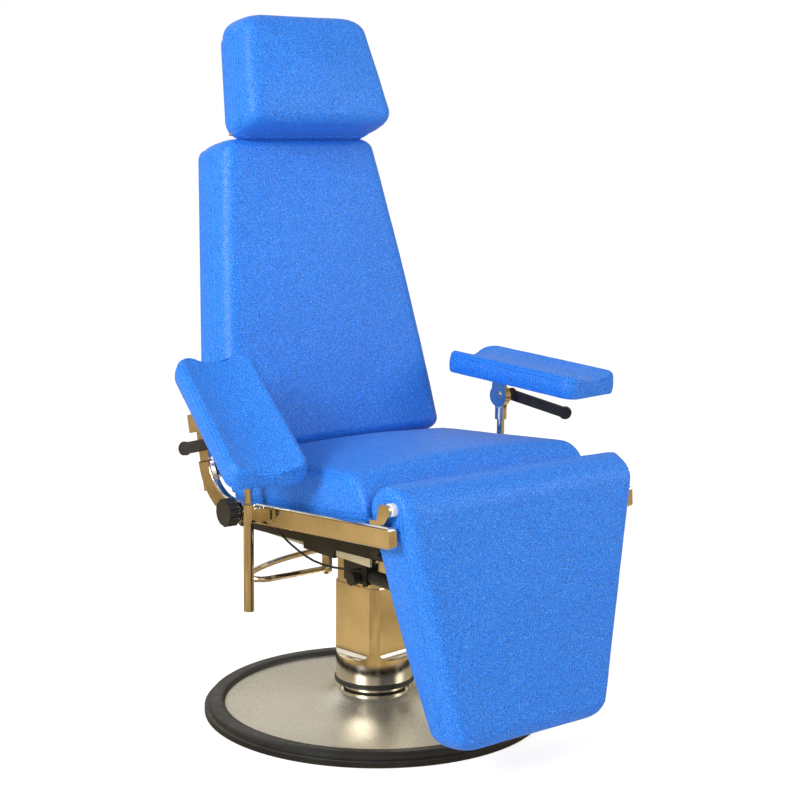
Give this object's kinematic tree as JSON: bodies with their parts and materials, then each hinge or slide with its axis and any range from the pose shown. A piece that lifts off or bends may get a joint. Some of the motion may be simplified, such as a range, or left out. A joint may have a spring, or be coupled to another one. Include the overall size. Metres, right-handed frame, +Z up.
{
  "type": "phlebotomy chair",
  "caption": "Padded blood-sampling chair on a round base with lifting column, turning seat, reclining back linked to a leg rest, head rest and adjustable trough-shaped arm rests.",
  "frame": {"origin": "centre of the base's underside, on the column's axis, at floor level", "axes": "+Z up, -Y the way the sitter faces, +X the sitter's left"},
  "size_m": [0.9062, 0.9011, 1.4014],
  "materials": {
    "blue_vinyl": "soft grained vinyl",
    "polished_steel": "mirror polished",
    "satin_steel": "fine satin",
    "black_rubber": "matt",
    "black_plastic": "fine matt",
    "black_steel": "satin black",
    "white_nylon": "satin",
    "board": "sealed plywood"
  },
  "bodies": {
    "base": {"base_plate": "satin_steel", "base_rim": "black_rubber", "base_ballast": "satin_steel", "base_collar": "polished_steel", "collar_seal": "black_rubber", "column_shroud": "polished_steel", "lift_cylinder": "black_steel"},
    "lift": {"inner_column": "polished_steel", "guide_bush": "white_nylon", "lift_rod": "polished_steel", "swivel_bearing": "white_nylon"},
    "seat": {"seat_carrier": "satin_steel", "cross_tubes": "satin_steel", "rail_left": "polished_steel", "rail_right": "polished_steel", "rail_plugs": "black_plastic", "leg_hinge_lugs": "polished_steel", "seat_board": "board", "seat_cushion": "blue_vinyl", "arm_brackets": "polished_steel", "arm_tubes": "polished_steel", "gas_spring_rod": "polished_steel", "release_head": "black_plastic", "release_cap": "black_plastic", "release_cable": "black_plastic", "lever_mount": "black_plastic", "mechanism_cover": "black_plastic", "hoop_brackets": "polished_steel"},
    "gas_spring": {"gas_spring_body": "black_steel"},
    "release": {"recline_lever": "black_plastic"},
    "hoop": {"lift_hoop": "polished_steel"},
    "back": {"back_shaft": "satin_steel", "back_washers": "black_plastic", "back_side_plates": "polished_steel", "back_frame": "satin_steel", "headrest_bush": "black_plastic", "back_board": "board", "back_cushion": "blue_vinyl"},
    "head_post": {"headrest_rod": "polished_steel"},
    "head": {"headrest_bracket": "black_steel", "headrest_board": "board", "headrest_cushion": "blue_vinyl"},
    "links": {"push_links": "black_steel"},
    "leg": {"legrest_frame": "black_steel", "legrest_board": "black_plastic", "legrest_cushion": "blue_vinyl", "leg_hinge_bushes": "white_nylon"},
    "arm_post_left": {"arm_rod_left": "polished_steel"},
    "arm_turn_left": {"arm_head_left": "polished_steel"},
    "arm_left": {"pad_clamp_left": "polished_steel", "arm_pad_left": "blue_vinyl"},
    "grip_left": {"clamp_lever_left": "black_plastic"},
    "knob_left": {"star_knob_left": "black_plastic"},
    "arm_post_right": {"arm_rod_right": "polished_steel"},
    "arm_turn_right": {"arm_head_right": "polished_steel"},
    "arm_right": {"pad_clamp_right": "polished_steel", "arm_pad_right": "blue_vinyl"},
    "grip_right": {"clamp_lever_right": "black_plastic"},
    "knob_right": {"star_knob_right": "black_plastic"}
  },
  "joints": [
    {"name": "lift_slide", "type": "slide", "parent": "base", "child": "lift", "axis": [0, 0, 1], "range_m": [-0.06, 0.1]},
    {"name": "seat_turn", "type": "hinge", "parent": "lift", "child": "seat", "pos_m": [0, 0, 0.356], "axis": [0, 0, 1], "continuous": true},
    {"name": "back_recline", "type": "hinge", "parent": "seat", "child": "back", "pos_m": [0, 0.16989, 0.5012], "axis": [-1, 0, 0], "range_deg": [0, 54]},
    {"name": "leg_raise", "type": "hinge", "parent": "seat", "child": "leg", "pos_m": [0, -0.412, 0.529], "axis": [-1, 0, 0], "range_deg": [0, 54]},
    {"name": "link_swing", "type": "hinge", "parent": "back", "child": "links", "pos_m": [0, 0.24489, 0.3712], "axis": [-1, 0, 0], "range_deg": [-54, 0]},
    {"name": "spring_slide", "type": "slide", "parent": "seat", "child": "gas_spring", "axis": [0, -1, 0], "range_m": [0, 0.1352]},
    {"name": "head_raise", "type": "slide", "parent": "back", "child": "head_post", "axis": [0, 0.23, 0.9732], "range_m": [0, 0.06]},
    {"name": "head_tilt", "type": "hinge", "parent": "head_post", "child": "head", "pos_m": [0, 0.31931, 1.26309], "axis": [-1, 0, 0], "range_deg": [-2, 25]},
    {"name": "hoop_rock", "type": "hinge", "parent": "seat", "child": "hoop", "pos_m": [0, 0.035, 0.302], "axis": [1, 0, 0], "range_deg": [-7, 7], "stiffness_Nm_per_rad": 60},
    {"name": "release_pull", "type": "hinge", "parent": "seat", "child": "release", "pos_m": [-0.275, -0.029, 0.452], "axis": [-1, 0, 0], "range_deg": [0, 12], "stiffness_Nm_per_rad": 2, "springref_deg": -5.73},
    {"name": "post_left", "type": "slide", "parent": "seat", "child": "arm_post_left", "axis": [0, 0, 1], "range_m": [-0.022, 0.118]},
    {"name": "arm_swing_left", "type": "hinge", "parent": "arm_post_left", "child": "arm_turn_left", "pos_m": [0.32, -0.018, 0.595], "axis": [0, 0, 1], "range_deg": [-20, 60]},
    {"name": "pad_tilt_left", "type": "hinge", "parent": "arm_turn_left", "child": "arm_left", "pos_m": [0.32, -0.018, 0.625], "axis": [-0.9925, -0.1219, 0], "range_deg": [-12, 10]},
    {"name": "clamp_left", "type": "hinge", "parent": "arm_left", "child": "grip_left", "pos_m": [0.32, -0.018, 0.625], "axis": [-0.9925, -0.1219, 0], "range_deg": [-10, 10]},
    {"name": "knob_spin_left", "type": "hinge", "parent": "seat", "child": "knob_left", "pos_m": [0.333, 0.014, 0.455], "axis": [1, 0, 0], "continuous": true},
    {"name": "post_right", "type": "slide", "parent": "seat", "child": "arm_post_right", "axis": [0, 0, 1], "range_m": [0, 0.14]},
    {"name": "arm_swing_right", "type": "hinge", "parent": "arm_post_right", "child": "arm_turn_right", "pos_m": [-0.32, -0.018, 0.572], "axis": [0, 0, -1], "range_deg": [-8, 60]},
    {"name": "pad_tilt_right", "type": "hinge", "parent": "arm_turn_right", "child": "arm_right", "pos_m": [-0.32, -0.018, 0.602], "axis": [-0.9781, 0.2079, 0], "range_deg": [-8, 30]},
    {"name": "clamp_right", "type": "hinge", "parent": "arm_right", "child": "grip_right", "pos_m": [-0.32, -0.018, 0.602], "axis": [-0.9781, 0.2079, 0], "range_deg": [-10, 10]},
    {"name": "knob_spin_right", "type": "hinge", "parent": "seat", "child": "knob_right", "pos_m": [-0.333, 0.014, 0.455], "axis": [-1, 0, 0], "continuous": true}
  ],
  "couplings": [
    {"joint": "leg_raise", "follows": "back_recline", "ratio": 1},
    {"joint": "link_swing", "follows": "back_recline", "ratio": -1},
    {"joint": "spring_slide", "follows": "back_recline", "m_per_rad": 0.14332}
  ]
}
